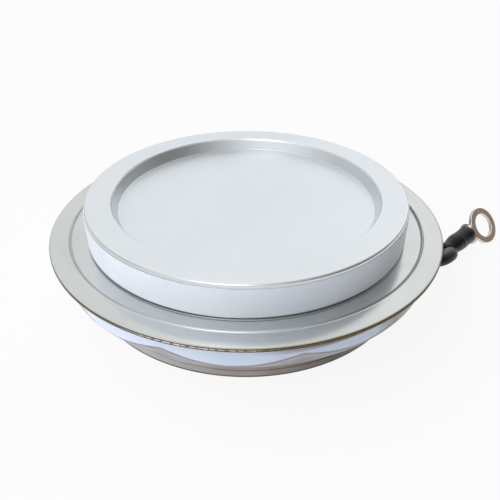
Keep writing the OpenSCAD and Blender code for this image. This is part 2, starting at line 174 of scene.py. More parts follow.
def tube(name, line, radius, sides, ends=()):
    # Round tube: line + radius(a, s) (side cos a + up sin a), s being the length run so far, closed flat at
    # both ends. A direction in ends turns that end's section square to it
    heading, side, up = framesAlong(line)
    run = np.r_[0, np.cumsum(np.linalg.norm(np.diff(line, axis=0), axis=1))]
    for k, direction in zip((0, -1), ends):
        side[k] = unit(np.cross([0, 0, 1.0], direction))
        up[k] = np.cross(direction, side[k])
    a = angles(sides)
    r = radius(a, run[None]) * np.ones((sides, len(line)))
    grid = line + r[..., None] * (np.cos(a)[..., None] * side + np.sin(a)[..., None] * up)
    first, last = (np.broadcast_to(end, (sides, 1, 3)) for end in (line[:1], line[-1:]))
    grid = np.concatenate([first, grid, last], 1)
    run = np.r_[run[0], run, run[-1]]
    return skin(name, grid, evenly(sides), np.r_[run, run[-1]])


def join(piece, other):
    # Adds the other's mesh to the piece's
    shape = bmesh.new()
    for part in (piece, other):
        shape.from_mesh(part.data)
    shape.to_mesh(piece.data)
    shape.free()
    bpy.data.objects.remove(other)


def stand(piece, material, *nodes):
    # The piece gets its material, stands for its CAD nodes and rides on the one body
    piece.data.materials.append(material)
    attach(piece, "root")
    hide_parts(*nodes)


def blockAlong(direction, start, end, width, low, high):
    # Box that runs from start to end along a level direction, for cutting a slot
    side = np.cross([0, 0, 1.0], direction)
    x, y, z = np.meshgrid([start, end], [-width / 2, width / 2], [low, high], indexing="ij")
    corners = x[..., None] * direction + y[..., None] * side + z[..., None] * np.array([0, 0, 1.0])
    mesh = bpy.data.meshes.new("slotCutter")
    mesh.from_pydata((corners * mm).reshape(-1, 3), [],
                     [(0, 1, 3, 2), (4, 6, 7, 5), (0, 4, 5, 1), (2, 3, 7, 6), (0, 2, 6, 4), (1, 5, 7, 3)])
    return shown("slotCutter", mesh)


def pierce(piece, cutter):
    # Cuts the cutter's shape out of the piece and keeps the result as the piece's mesh
    cut = piece.modifiers.new("cut", "BOOLEAN")
    cut.operation, cut.solver, cut.object = "DIFFERENCE", "EXACT", cutter
    bpy.context.view_layer.update()
    mesh = bpy.data.meshes.new_from_object(piece.evaluated_get(bpy.context.evaluated_depsgraph_get()))
    piece.modifiers.clear()
    piece.data = mesh
    bpy.data.objects.remove(cutter)


# Node building


def add(tree, kind, inputs=None, **settings):
    # One node. An input that is given a socket is linked to it
    made = tree.nodes.new("ShaderNode" + kind)
    for key, value in settings.items():
        setattr(made, key, value)
    for key, value in (inputs or {}).items():
        if isinstance(value, bpy.types.NodeSocket):
            tree.links.new(value, made.inputs[key])
        else:
            made.inputs[key].default_value = value
    return made


def emptied(owner):
    # Node tree of a material or a world, with nothing in it
    owner.use_nodes = True
    owner.node_tree.nodes.clear()
    return owner.node_tree


def calc(tree, operation, a, b=0.0):
    return add(tree, "Math", {0: a, 1: b}, operation=operation).outputs[0]


def times(tree, a, b):
    return calc(tree, "MULTIPLY", a, b)


def plus(tree, a, b):
    return calc(tree, "ADD", a, b)


def minus(tree, a, b):
    return calc(tree, "SUBTRACT", a, b)


def span(tree, value, low, high, newLow=0.0, newHigh=1.0):
    return add(tree, "MapRange", {0: value, 1: low, 2: high, 3: newLow, 4: newHigh}).outputs[0]


def blend(tree, share, a, b):
    # The Mix node's inputs 0, 6 and 7 are its share and its two colours
    return add(tree, "Mix", {0: share, 6: a, 7: b}, data_type="RGBA").outputs[2]


def noise(tree, where, scale, detail=2.0, rough=0.5, distortion=0.0, through=None):
    # Noise in space, or where a fourth coordinate is given, in four dimensions
    inputs = {"Vector": where, "Scale": scale, "Detail": detail, "Roughness": rough, "Distortion": distortion}
    if through is None:
        return add(tree, "TexNoise", inputs).outputs["Fac"]
    return add(tree, "TexNoise", {**inputs, "W": through}, noise_dimensions="4D").outputs["Fac"]


def newGroup(name, inputs, outputs):
    # Group with named numbers going in, each with its default, and coming out
    group = bpy.data.node_groups.new(name, "ShaderNodeTree")
    for way, sockets in (("INPUT", inputs), ("OUTPUT", dict.fromkeys(outputs, 0.0))):
        for socket, value in sockets.items():
            made = group.interface.new_socket(name=socket, in_out=way, socket_type="NodeSocketFloat")
            made.default_value = value
    start, end = group.nodes.new("NodeGroupInput"), group.nodes.new("NodeGroupOutput")
    return group, start.outputs, lambda socket, value: group.links.new(value, end.inputs[socket])


def place(tree):
    return add(tree, "TexCoord").outputs["Object"]


def perMillimetre(tree, size):
    # Scale of a texture whose features are that many millimetres wide
    return calc(tree, "DIVIDE", 1 / mm, size)


def ringPlace():
    # Distance from the axis and height in millimetres, and the angle round the axis with its sine and cosine
    group, _, give = newGroup("ringPlace", {}, ["Radius", "Height", "Sine", "Cosine", "Angle"])
    part = add(group, "SeparateXYZ", {0: place(group)}).outputs
    x, y = (times(group, part[k], 1 / mm) for k in range(2))
    radius = calc(group, "SQRT", plus(group, times(group, x, x), times(group, y, y)))
    give("Radius", radius)
    give("Height", times(group, part[2], 1 / mm))
    give("Sine", calc(group, "DIVIDE", y, radius))
    give("Cosine", calc(group, "DIVIDE", x, radius))
    give("Angle", calc(group, "ARCTAN2", y, x))
    return group


def turningMarks():
    # Fine grooves left by the turning tool, and wide bands of them. They follow circles, start and stop along
    # them, and also run up walls
    bandPitch = 0.06
    group, given, give = newGroup("turningMarks", {"Pitch": 0.1, "Arc": 2.0}, ["Marks", "Bands"])
    at = add(group, "Group", node_tree=groups["ringPlace"]).outputs
    step = calc(group, "DIVIDE", plus(group, at["Radius"], at["Height"]), given["Pitch"])
    ring = add(group, "CombineXYZ", {0: times(group, at["Cosine"], given["Arc"]),
                                     1: times(group, at["Sine"], given["Arc"])}).outputs[0]
    give("Marks", noise(group, ring, 1.0, detail=3.0, rough=0.6, through=step))
    give("Bands", noise(group, ring, 1.0, through=times(group, step, bandPitch)))
    return group


def handling():
    # Finger smudges and cloudy stains, each a mask from 0 to 1
    group, given, give = newGroup("handling", {"Size": 9.0, "Seed": 0.0}, ["Smudge", "Cloud"])
    shift = add(group, "CombineXYZ", {0: given["Seed"], 1: given["Seed"]}).outputs[0]
    shifted = add(group, "VectorMath", {0: place(group), 1: shift}, operation="ADD").outputs[0]
    scale = perMillimetre(group, given["Size"])
    cloud = noise(group, shifted, scale, detail=3.0, rough=0.55)
    smudge = noise(group, shifted, scale, detail=5.0, rough=0.6, distortion=1.6)
    give("Cloud", span(group, cloud, 0.35, 0.65))
    give("Smudge", span(group, smudge, 0.52, 0.7))
    return group


def edgeWearAndShade():
    # Mask along the rounded edges, broken up by noise, for wear and for painted shade. It reads the piece's own
    # edge attribute
    patchScale = 700
    group, given, give = newGroup("edgeWearAndShade", {"Break": 0.5}, ["Wear"])
    edge = add(group, "Attribute", attribute_name="edge").outputs["Fac"]
    patch = noise(group, place(group), patchScale, detail=4.0, rough=0.7)
    kept = span(group, minus(group, patch, given["Break"]), -0.12, 0.1)
    give("Wear", times(group, edge, kept))
    return group


def grain():
    # Small even bumps, such as moulded plastic, rubber or pressed film has
    group, given, give = newGroup("grain", {"Grain": 0.2, "Swell": 2.0}, ["Grain", "Swell"])
    here = place(group)
    give("Grain", noise(group, here, perMillimetre(group, given["Grain"]), rough=0.6))
    give("Swell", noise(group, here, perMillimetre(group, given["Swell"]), detail=1.0, rough=0.4))
    return group


groups = {}
for maker in (ringPlace, turningMarks, handling, edgeWearAndShade, grain):
    groups[maker.__name__] = maker()


def newMaterial(name, **fixed):
    # Principled material with its fixed values: its tree, and a function that links what was built and gives
    # the material
    material = bpy.data.materials.new(name)
    tree = emptied(material)
    shader = add(tree, "BsdfPrincipled", fixed)
    add(tree, "OutputMaterial", {0: shader.outputs[0]})

    def finish(colour, rough, normal, **more):
        for key, value in {"Base Color": colour, "Roughness": rough, "Normal": normal, **more}.items():
            tree.links.new(value, shader.inputs[key])
        return material

    return tree, finish


def use(tree, name, inputs=None):
    return add(tree, "Group", inputs, node_tree=groups[name]).outputs


def rgb(r, g, b):
    # Colour as it reads on screen, from 0 to 255, in linear light
    c = np.array([r, g, b]) / 255
    return (*np.where(c <= 0.04045, c / 12.92, ((c + 0.055) / 1.055) ** 2.4), 1)


def bump(tree, height, strength, distance, **under):
    # Normal names the bump that this one lies on
    return add(tree, "Bump", {"Height": height, "Strength": strength, "Distance": distance, **under}).outputs[0]


metalLook = {"arc": 2.5, "cloudSize": 11.0, "wearAndShadeBreak": 0.42, "bands": (0.3, 0.7), "cloudShare": 0.35,
             "wearAndShadeShare": 0.8, "sideShadingUneven": 0.08, "footShadeUneven": 0.12, "footShadeEdge": (0.12, -0.08),
             "burnish": 0.4, "markMiddle": 0.5, "markGloss": 0.06, "markHeight": 0.00002}


def turnedMetal(name, colour, tint, shine, pitch, depth, seed=0.0, wornAndShaded=None, streak=0.3, brushed=0.0,
                smudge=0.12, foot=None, sides=()):
    # Plated metal with turning marks, smudges, cloudy tarnish, and a colour on its rounded edges, which gloss
    # more than the
    # flats: wear where that colour is paler than the metal, painted shade where it is darker. Brushed metal
    # spreads its reflections across the marks, which run round the Z axis. A foot is a height in millimetres
    # and the darker colour painted below it as shade near the floor. A side is two cosines of the angle round
    # the axis, the colour painted between them as light where it is paler and as shade where it is darker, and
    # its share
    look = metalLook
    tree, finish = newMaterial(name, Metallic=1.0, Anisotropic=brushed)
    around = {"Tangent": add(tree, "Tangent", direction_type="RADIAL", axis="Z").outputs[0]} if brushed else {}
    marks = use(tree, "turningMarks", {"Pitch": pitch, "Arc": look["arc"]})
    traces = use(tree, "handling", {"Size": look["cloudSize"], "Seed": seed})
    wearAndShade = use(tree, "edgeWearAndShade", {"Break": look["wearAndShadeBreak"]})["Wear"]
    shade = times(tree, span(tree, marks["Bands"], *look["bands"]), streak)
    shade = calc(tree, "MAXIMUM", shade, times(tree, traces["Cloud"], look["cloudShare"]))
    base = blend(tree, shade, rgb(*colour), rgb(*tint))
    # Edge colour: wear where it is paler than the metal, painted shade where it is darker, as on the lower
    # electrode
    base = blend(tree, times(tree, wearAndShade, look["wearAndShadeShare"]), base, rgb(*(wornAndShaded or colour)))
    # Painted light and shade: a side's colour is paler where it stands for light and darker where it stands for
    # shade
    for low, high, sideShading, share in sides:
        turned = plus(tree, use(tree, "ringPlace")["Cosine"], times(tree, traces["Cloud"], look["sideShadingUneven"]))
        base = blend(tree, span(tree, turned, low, high, 0.0, share), base, rgb(*sideShading))
    # Painted shade: below the foot's height the colour darkens as shade near the floor
    if foot:
        top, footShade = foot
        height = plus(tree, use(tree, "ringPlace")["Height"], times(tree, traces["Cloud"], look["footShadeUneven"]))
        footShadeMask = span(tree, height, top + look["footShadeEdge"][0], top + look["footShadeEdge"][1])
        base = blend(tree, footShadeMask, base, rgb(*footShade))
    rough = plus(tree, shine, times(tree, traces["Smudge"], smudge))
    edge = add(tree, "Attribute", attribute_name="edge").outputs["Fac"]
    rough = minus(tree, rough, times(tree, edge, look["burnish"] * shine))
    uneven = times(tree, minus(tree, marks["Marks"], look["markMiddle"]), look["markGloss"])
    normal = bump(tree, marks["Marks"], depth, look["markHeight"])
    return finish(base, plus(tree, rough, uneven), normal, **around)


mouldedLook = {"swell": 3.0, "cloudSize": 6.0, "cloudShare": 0.6, "smudgeGloss": 0.15,
               "swellHeight": 0.0003, "grainHeight": 0.00003}


def moulded(name, colour, tint, shine, seed=0.0, size=0.25, depth=0.15, **fixed):
    # Plastic, rubber or film: slightly uneven colour, fine grain and a slow swell of the surface
    look = mouldedLook
    tree, finish = newMaterial(name, **fixed)
    small = use(tree, "grain", {"Grain": size, "Swell": look["swell"]})
    traces = use(tree, "handling", {"Size": look["cloudSize"], "Seed": seed})
    base = blend(tree, times(tree, traces["Cloud"], look["cloudShare"]), rgb(*colour), rgb(*tint))
    rough = plus(tree, shine, times(tree, traces["Smudge"], look["smudgeGloss"]))
    slow = bump(tree, small["Swell"], depth, look["swellHeight"])
    return finish(base, rough, bump(tree, small["Grain"], depth, look["grainHeight"], Normal=slow))


# Lead first. Its points are those of the part's source, in millimetres: guide inside the feedthrough, exit, and
# the way to the lug
gateLead = {
    "angle": -17, "exitRadius": 36.4, "exitHeight": 8.975, "guide": 2.4,
    "route": [(37.28, -9.96, 8.88), (39.48, -7.88, 8.48), (40.49, -5.47, 7.53), (40.67, -3.57, 6.12),
              (40.61, -1.89, 3.93), (40.9, -0.31, 2.67), (41.66, 1.48, 2.04), (42.9, 3.3, 2.03),
              (44.51, 4.81, 2.2), (46.3, 6.4, 2.3)],
    "routeSteps": 3, "meshSteps": 9, "sides": 56, "radius": 1.1,
    "lugAzimuth": 42, "lugTilt": 2.5, "lugRoll": 50,
}
strands = {"inBarrel": 4.6, "out": 1.0, "points": 24, "start": 0.02, "radius": 0.75, "groove": 0.09, "count": 7,
           "twist": 1.6, "taper": 0.5, "taperLength": 0.25}

away = np.radians(gateLead["angle"])
gateDir = np.array([np.cos(away), np.sin(away), 0])
exitPoint = gateLead["exitRadius"] * gateDir + [0, 0, gateLead["exitHeight"]]
leadPoints = [exitPoint - gateLead["guide"] * gateDir, exitPoint, *gateLead["route"]]
route, fineRoute = (curveThrough(leadPoints, steps)[steps:]
                    for steps in (gateLead["routeSteps"], gateLead["meshSteps"]))
azimuth, tilt, roll = (np.radians(gateLead[k]) for k in ("lugAzimuth", "lugTilt", "lugRoll"))
lugX = np.array([np.cos(azimuth) * np.cos(tilt), np.sin(azimuth) * np.cos(tilt), np.sin(tilt)])
levelY = np.array([-np.sin(azimuth), np.cos(azimuth), 0])
lugY = np.cos(roll) * levelY + np.sin(roll) * np.cross(lugX, levelY)
toLug = np.array([lugX, lugY, np.cross(lugX, lugY)])
mouth = route[-1]
coreLength = strands["inBarrel"] + strands["out"]
insulated = np.linalg.norm(np.diff(fineRoute, axis=0), axis=1).sum()
stripped = mouth + np.linspace(strands["start"], coreLength, strands["points"])[:, None] * lugX


def inLug(grid):
    # Points of the lug's frame, X along its barrel, put in their real place
    return grid @ toLug + mouth


def leadRadius(a, s):
    # Even insulation up to the barrel's mouth, then seven twisted strands: a lobed circle that turns with s
    t = strands
    bare = ease((s - insulated) / t["start"])
    groove = t["groove"] * np.abs(np.sin(t["count"] / 2 * a + t["twist"] * s))
    taper = t["taper"] * ease(1 - (insulated + coreLength - s) / t["taperLength"])
    return (1 - bare) * gateLead["radius"] + bare * (t["radius"] - groove - taper)


lead = tube("gateLead", np.vstack([fineRoute, stripped]), leadRadius, gateLead["sides"], (gateDir, lugX))
rubber = moulded("leadRubber", (12, 13, 15), (20, 22, 25), shine=0.42, size=0.3, depth=0.12,
                 **{"Specular IOR Level": 0.3})
stand(lead, rubber, "gate_lead", "lead_core")

# Heat-shrunk sleeve, from behind the barrel's mouth to the barrel's front
shrinkSleeve = {"length": 9.5, "front": 4.7, "points": 120, "sides": 48,
                "thin": 1.62, "step": 0.38, "stepStart": 1.2, "stepLength": 3.0,
                "crease": 0.05, "creaseRate": 1.5, "creaseTurn": 1.3, "creaseEnd": 1.5,
                "ripple": 0.035, "rippleRate": 4.4, "rippleTurn": 2, "ripplePhase": 0.6, "rippleAt": 5.4,
                "rippleSpread": 1.6, "backRound": (0.12, 0.5), "frontRound": (0.08, 0.4)}


def sleeveRadius(a, s):
    # Follows the lead, then the barrel, with soft rings and creases between them, and rounds off at both ends
    c = shrinkSleeve
    left = c["length"] - s
    over = ease((s - c["stepStart"]) / c["stepLength"])
    crease = c["crease"] * np.sin(c["creaseRate"] * s + c["creaseTurn"] * np.sin(a))
    crease = crease * ease(s / c["creaseEnd"]) * ease(left / c["creaseEnd"])
    ripple = c["ripple"] * np.sin(c["rippleRate"] * s + c["rippleTurn"] * np.cos(a + c["ripplePhase"]))
    ripple = ripple * np.exp(-((s - c["rippleAt"]) ** 2) / c["rippleSpread"])
    ends = sum(drop * ease(1 - gone / reach)
               for (drop, reach), gone in ((c["backRound"], s), (c["frontRound"], left)))
    return c["thin"] + c["step"] * over + crease + ripple - ends


sleeveRun = np.linspace(shrinkSleeve["front"] - shrinkSleeve["length"], shrinkSleeve["front"],
                        shrinkSleeve["points"])
sleeve = tube("shrinkSleeve", mouth + sleeveRun[:, None] * lugX, sleeveRadius, shrinkSleeve["sides"])
sleeveFilm = moulded("sleeveFilm", (10, 11, 13), (18, 21, 25), shine=0.3, size=0.35, depth=0.12, seed=3.0,
                     **{"Specular IOR Level": 0.35})
stand(sleeve, sleeveFilm, "lug_sleeve")

# Ring lug: one sheet, whose ring and tongue are flat and whose near end is curled into the barrel. Half widths
# are measured along the sheet
ringLug = {"outer": 4.1, "hole": 2.65, "sheet": 0.8, "centre": 9.1, "drop": 1.2, "edge": 0.16, "turns": 96}
lugSheet = {"barrelEnd": 4.2, "barrelRows": 30, "tongueStart": 4.25, "tongueEnd": 6.3, "tongueRows": 26,
            "opening": 1.1, "flatBend": 0.02, "seam": 0.985, "tongueHalf": 1.5, "across": 41,
            "dent": 0.14, "dentAt": 2.0, "dentLength": 0.8, "dentWidth": 1.2, "uvAlong": 20}


def lugRingGrid():
    c = ringLug
    half = c["sheet"] / 2
    line, edge = softened([(c["hole"], -half), (c["outer"], -half), (c["outer"], half), (c["hole"], half)],
                          c["edge"])
    return spin(line[:, 0], line[:, 1], angles(c["turns"])) + [c["centre"], 0, c["drop"]], edge


def lugSheetGrid():
    # At x the sheet's cross-section is an arc of bend k(x), which falls from 1/r in the barrel to nearly 0 in
    # the tongue, and a point at arc length w lies at (sin(kw)/k, r - (1 - cos(kw))/k)
    c, r = lugSheet, ringLug["drop"]
    x = np.r_[np.linspace(0, c["barrelEnd"], c["barrelRows"]),
              np.linspace(c["tongueStart"], c["tongueEnd"], c["tongueRows"])]
    unrolled = ease((x - c["barrelEnd"]) / c["opening"])
    k = ((1 / r) * (1 - unrolled) + c["flatBend"] * unrolled)[:, None]
    halfWidth = (np.pi * r * c["seam"]) * (1 - unrolled) + c["tongueHalf"] * unrolled
    q = np.linspace(-1, 1, c["across"])
    half = np.full(c["across"], ringLug["sheet"] / 2)
    section = np.vstack([np.stack([q, half], 1), np.stack([q[::-1], -half], 1)])
    w = section[:, 0] * halfWidth[:, None]
    depth = section[:, 1]
    dent = c["dent"] * np.exp(-(((x - c["dentAt"]) / c["dentLength"]) ** 2))[:, None]
    dent = dent * np.exp(-((w / c["dentWidth"]) ** 2))
    y = (1 / k + depth) * np.sin(k * w)
    z = r - (1 / k) + (1 / k + depth - dent) * np.cos(k * w)
    return np.stack([np.broadcast_to(x[:, None], w.shape), y, z], -1).transpose(1, 0, 2)


ringGrid, ringEdge = lugRingGrid()
ring = skin("ringLug", inLug(ringGrid), evenly(len(ringGrid)), evenly(ringGrid.shape[1]), True, True, ringEdge)
sheetGrid = lugSheetGrid()
join(ring, skin("lugBarrel", inLug(sheetGrid), evenly(len(sheetGrid)),
                np.arange(sheetGrid.shape[1]) / lugSheet["uvAlong"]))
lugMetal = turnedMetal("tinnedLug", (228, 210, 196), (192, 174, 160), shine=0.36, pitch=0.5, depth=0.1,
                       wornAndShaded=(234, 226, 218), seed=5.0)
stand(ring, lugMetal, "ring_lug")

print("lead and lug made")

# Housing. Heights and radii are those of the part's source, in millimetres
housing = {"shoulder": 6.1, "pedestal": 7.0, "ceramicFoot": 6.65, "ceramicHead": 11.3, "boss": 10.6,
           "lowerSheet": 11.4, "spigotFoot": 11.68, "channel": 11.88, "brimMid": 12.15, "brimTop": 12.5,
           "capFoot": 12.33, "contact": 16.53, "land": 18.78, "label": 12.63, "labelHeight": 5.35,
           "beadOut": 34.75, "beadIn": 33.9, "sheetEdge": 37.7, "sheet": 0.35, "bead": 0.3, "riser": 0.3}

# In both electrodes, rounds are the radii at the outline's corners, in order
upperElectrode = {"radius": 30.9, "spigot": 28, "boss": 20.2, "recess": 26, "lip": 0.3, "contact": 24.8,
                  "bore": 3.8, "boreTop": 15.03, "slotEnd": 24.4, "slotWidth": 2.0, "slotTop": 12.8,
                  "slotPast": 0.5, "rounds": [0, 0.1, 0.1, 0.1, 0.1, 0.1, 0.1, 0.1, 0.45, 0.15, 0.3, 0.12, 0]}


def upperElectrodeOutline():
    u, h = upperElectrode, housing
    corners = [(0, u["boreTop"]), (u["bore"], u["boreTop"]), (u["bore"], h["boss"]), (u["boss"], h["boss"]),
               (u["boss"], h["spigotFoot"]), (u["spigot"], h["spigotFoot"]), (u["spigot"], h["capFoot"]),
               (u["radius"], h["capFoot"]), (u["radius"], h["land"]), (u["recess"], h["land"]),
               (u["recess"] - u["lip"], h["land"] - u["lip"]), (u["contact"], h["contact"]),
               (0, h["contact"])]
    return softened(corners, u["rounds"], closed=False)


cap = spun("upperElectrode", upperElectrodeOutline(), closed=False)
pierce(cap, blockAlong(gateDir, 0, upperElectrode["slotEnd"], upperElectrode["slotWidth"],
                       housing["boss"] - upperElectrode["slotPast"], upperElectrode["slotTop"]))
capNickel = turnedMetal("capNickel", (222, 228, 232), (213, 218, 222), shine=0.36, pitch=0.14, depth=0.06,
                        wornAndShaded=(228, 231, 233), seed=1.0, streak=0.2, smudge=0.03)
stand(cap, capNickel, "upper_electrode")

lowerElectrode = {"radius": 31.5, "chamfer": 0.2, "recess": 26, "lip": 0.3, "contact": 24.8, "depth": 2.25,
                  "pedestal": 22.5, "groove": 1.65, "grooveDepth": 0.08, "grooveHalf": 0.1,
                  "rounds": [0, 0.3, 0.3, 0.12, 0.1, 0.1, 0.05, 0.05, 0.05, 0.15, 0.1, 0.15, 0]}


def lowerElectrodeOutline():
    u, h = lowerElectrode, housing
    r, groove, half = u["radius"], u["groove"], u["grooveHalf"]
    corners = [(0, u["depth"]), (u["contact"], u["depth"]), (u["recess"] - u["lip"], u["lip"]),
               (u["recess"], 0), (r - u["chamfer"], 0), (r, u["chamfer"]), (r, groove - half),
               (r - u["grooveDepth"], groove), (r, groove + half), (r, h["shoulder"]),
               (u["pedestal"], h["shoulder"]), (u["pedestal"], h["pedestal"]), (0, h["pedestal"])]
    return softened(corners, u["rounds"], closed=False)


# Painted light and shade: its colour is paler at the left and darker and browner at the right, and darker on
# its rounded edges and below its foot height near the floor
base = spun("lowerElectrode", lowerElectrodeOutline(), closed=False)
baseNickel = turnedMetal("baseNickel", (160, 155, 152), (120, 114, 110), shine=0.36, pitch=0.3, depth=0.2,
                         wornAndShaded=(96, 90, 84), seed=2.0, streak=0.8, foot=(0.5, (84, 80, 72)),
                         sides=[(-0.05, -0.5, (204, 204, 208), 0.5), (0.05, 0.5, (74, 72, 62), 0.75)])
stand(base, baseNickel, "lower_electrode")

# Weld sheets: the upper side of each is a line of flats and steps. A flat's ends are held by a point near them
weldSheets = {"bore": 28.1, "lowerBore": 32.2, "hold": 0.08, "edgeHold": 0.1, "crest": 0.03, "riserSteps": 10,
              "crestSteps": 12, "crestPower": 4, "lowerSteps": 14}


def riserLine(start, end, steps):
    # From one (radius, height) to another, rising as the eased step
    t = np.linspace(0, 1, steps)
    return np.stack([start[0] + (end[0] - start[0]) * t, start[1] + (end[1] - start[1]) * ease(t)], 1)


def crestFall(start, end):
    # From a thin crest down to the brim: the height that is left falls as (1 - t)^4
    t = np.linspace(0, 1, weldSheets["crestSteps"])
    return np.stack([start[0] + (end[0] - start[0]) * t,
                     end[1] + (start[1] - end[1]) * (1 - t) ** weldSheets["crestPower"]], 1)


def sheetOutline(line):
    # The line on top and its copy one thickness lower
    low = line[::-1] - [0, housing["sheet"]]
    return np.vstack([line, low]), np.zeros(2 * len(line))


def upperSheetLine():
    h, w = housing, weldSheets
    channel, bead, brim = h["channel"] + h["sheet"], h["brimTop"] + h["bead"], h["brimTop"]
    crest = h["beadIn"] + h["riser"]
    return np.vstack([
        [(w["bore"], channel), (w["bore"] + w["hold"], channel), (h["beadIn"] - w["hold"], channel)],
        riserLine((h["beadIn"], channel), (crest, bead), w["riserSteps"]),
        crestFall((crest + w["crest"], bead), (h["beadOut"], brim)),
        [(h["beadOut"] + w["hold"], brim), (h["sheetEdge"] - w["edgeHold"], brim), (h["sheetEdge"], brim)]])


def lowerSheetLine():
    h, w = housing, weldSheets
    low, brim = h["lowerSheet"] + h["sheet"], h["brimMid"]
    return np.vstack([
        [(w["lowerBore"], low), (w["lowerBore"] + w["hold"], low), (h["beadIn"] - w["hold"], low)],
        riserLine((h["beadIn"], low), (h["beadOut"], brim), w["lowerSteps"]),
        [(h["beadOut"] + w["hold"], brim), (h["sheetEdge"], brim)]])


upperSheet = spun("upperWeldFlange", sheetOutline(upperSheetLine()))
sheetNickel = turnedMetal("sheetNickel", (209, 213, 213), (190, 193, 190), shine=0.22, pitch=0.3, depth=0.03,
                          wornAndShaded=(225, 226, 226), seed=3.0, streak=0.5, brushed=0.75, smudge=0.04)
stand(upperSheet, sheetNickel, "upper_weld_flange")
lowerSheet = spun("lowerWeldFlange", sheetOutline(lowerSheetLine()))
underNickel = turnedMetal("underNickel", (150, 147, 140), (118, 112, 102), shine=0.35, pitch=0.3, depth=0.1,
                          wornAndShaded=(176, 172, 164), seed=4.0)
stand(lowerSheet, underNickel, "lower_weld_flange")

# Rim weld: rounded bead with ripples that the torch left, in slightly uneven steps. Places on it are given from
# -1 to 1, from its foot to its head. drift holds each wave's size, its number round the rim and its phase
rimWeld = {"bulge": 0.3, "blunt": 0.5, "points": 41, "notch": 0.07, "notchAt": 0.5, "notchWidth": 0.1,
           "ripples": 170, "depth": 0.04, "crownFall": 0.25, "drift": [(2.2, 3, 0), (1.4, 7, 1)], "skew": 2,
           "turns": 1536}


def rimWeldOutline():
    # A blunt half round from the lower sheet's edge to the upper one's, with a notch where it meets each sheet
    h, w = housing, rimWeld
    a = np.radians(np.linspace(-90, 90, w["points"]))
    high = np.sin(a)
    notch = w["notch"] * np.exp(-(((np.abs(high) - w["notchAt"]) / w["notchWidth"]) ** 2))
    r = h["sheetEdge"] + w["bulge"] * np.cos(a) ** w["blunt"] - notch
    return np.stack([r, h["brimMid"] + h["sheet"] * high], 1), np.zeros(len(a))


def rimRipple(a, line):
    # Rise and fall of the bead between its notches, with a slow drift of the phase
    w = rimWeld
    high = (line[:, 1] - housing["brimMid"]) / housing["sheet"]
    crown = ease((w["notchAt"] - np.abs(high)) / w["crownFall"])
    drift = sum(size * np.sin(number * a + phase) for size, number, phase in w["drift"])
    wave = 0.5 - 0.5 * np.cos(w["ripples"] * a + drift + w["skew"] * crown)
    return -w["depth"] * wave * crown


# Heights go from 0 at the weld's foot to 1 at its head. Of two colours, the first is the bright metal's and the
# second the darker olive brown one's, round the right half. glint is a painted highlight
weldLook = {"cloudSize": 2.5, "seed": 6.0, "beadFoot": (0.36, 0.46), "beadHead": (0.76, 0.66),
            "rippleUneven": 5.0, "dash": (-1.0, -0.4), "glintFront": (-0.86, -0.95), "rightHalfUneven": 0.3,
            "rightHalf": (-0.15, 0.3), "matt": [(138, 128, 114), (104, 94, 70)],
            "glint": [(236, 232, 222), (118, 106, 80)], "seam": [(70, 64, 58), (84, 75, 52)],
            "rim": [(206, 205, 198), (176, 168, 146)], "rimRightHalf": 0.6, "rimFoot": (0.93, 0.97),
            "rough": (0.5, 0.28), "bump": 0.3, "bumpHeight": 0.00005}


def weldMetal():
    # From below: dark seam, bead, dark seam and the pale edge of the upper sheet. The bead's ripples carry a
    # painted highlight at the front, and round the right half the weld is darker and olive brown
    look = weldLook
    tree, finish = newMaterial("weldBead", Metallic=1.0)
    at = use(tree, "ringPlace")
    cloud = use(tree, "handling", {"Size": look["cloudSize"], "Seed": look["seed"]})["Cloud"]
    foot, height = housing["brimMid"] - housing["sheet"], 2 * housing["sheet"]
    high = calc(tree, "DIVIDE", minus(tree, at["Height"], foot), height)
    bead = times(tree, span(tree, high, *look["beadFoot"]), span(tree, high, *look["beadHead"]))
    ripple = plus(tree, times(tree, at["Angle"], rimWeld["ripples"]), times(tree, cloud, look["rippleUneven"]))
    # Painted highlight: bright dashes on the ripples at the front
    glintDashes = times(tree, span(tree, calc(tree, "SINE", ripple), *look["dash"]),
                   span(tree, at["Sine"], *look["glintFront"]))
    rightHalf = span(tree, plus(tree, at["Cosine"], times(tree, cloud, look["rightHalfUneven"])), *look["rightHalf"])
    matt, glint, seam = (blend(tree, rightHalf, *(rgb(*c) for c in look[k])) for k in ("matt", "glint", "seam"))
    rim = blend(tree, times(tree, rightHalf, look["rimRightHalf"]), *(rgb(*c) for c in look["rim"]))
    colour = blend(tree, bead, seam, blend(tree, glintDashes, matt, glint))
    colour = blend(tree, span(tree, high, *look["rimFoot"]), colour, rim)
    rough = span(tree, bead, 0.0, 1.0, *look["rough"])
    return finish(colour, rough, bump(tree, cloud, look["bump"], look["bumpHeight"]))


weld = spun("rimWeld", rimWeldOutline(), turns=rimWeld["turns"], change=rimRipple)
stand(weld, weldMetal(), "rim_weld")

# Glazed ring. Its outer wall flows inward a little: waves holds their numbers round the ring and their phases,
# and one more wave slants with the height
ceramicRing = {"radius": 35.9, "bore": 32.2, "round": 0.4, "boreRound": 0.1, "arcSteps": 10, "flow": 0.012,
               "flowFrom": 1.2, "flowOver": 0.6, "waves": [(5, 0.8), (9, 2.1)], "slanted": 14,
               "holeHalf": 1.1, "holePast": 0.5}


def ceramicOutline():
    c, foot, head = ceramicRing, housing["ceramicFoot"], housing["ceramicHead"]
    corners = [(c["bore"], foot), (c["radius"], foot), (c["radius"], head), (c["bore"], head)]
    return softened(corners, [c["boreRound"], c["round"], c["round"], c["boreRound"]], steps=c["arcSteps"])


def glazeFlow(a, line):
    c = ceramicRing
    outer = ease((line[:, 0] - c["radius"] + c["flowFrom"]) / c["flowOver"])
    waves = [np.sin(number * a + phase) for number, phase in c["waves"]]
    waves.append(np.sin(c["slanted"] * a + line[:, 1]))
    return -c["flow"] * (1 + sum(waves) / len(waves)) * outer


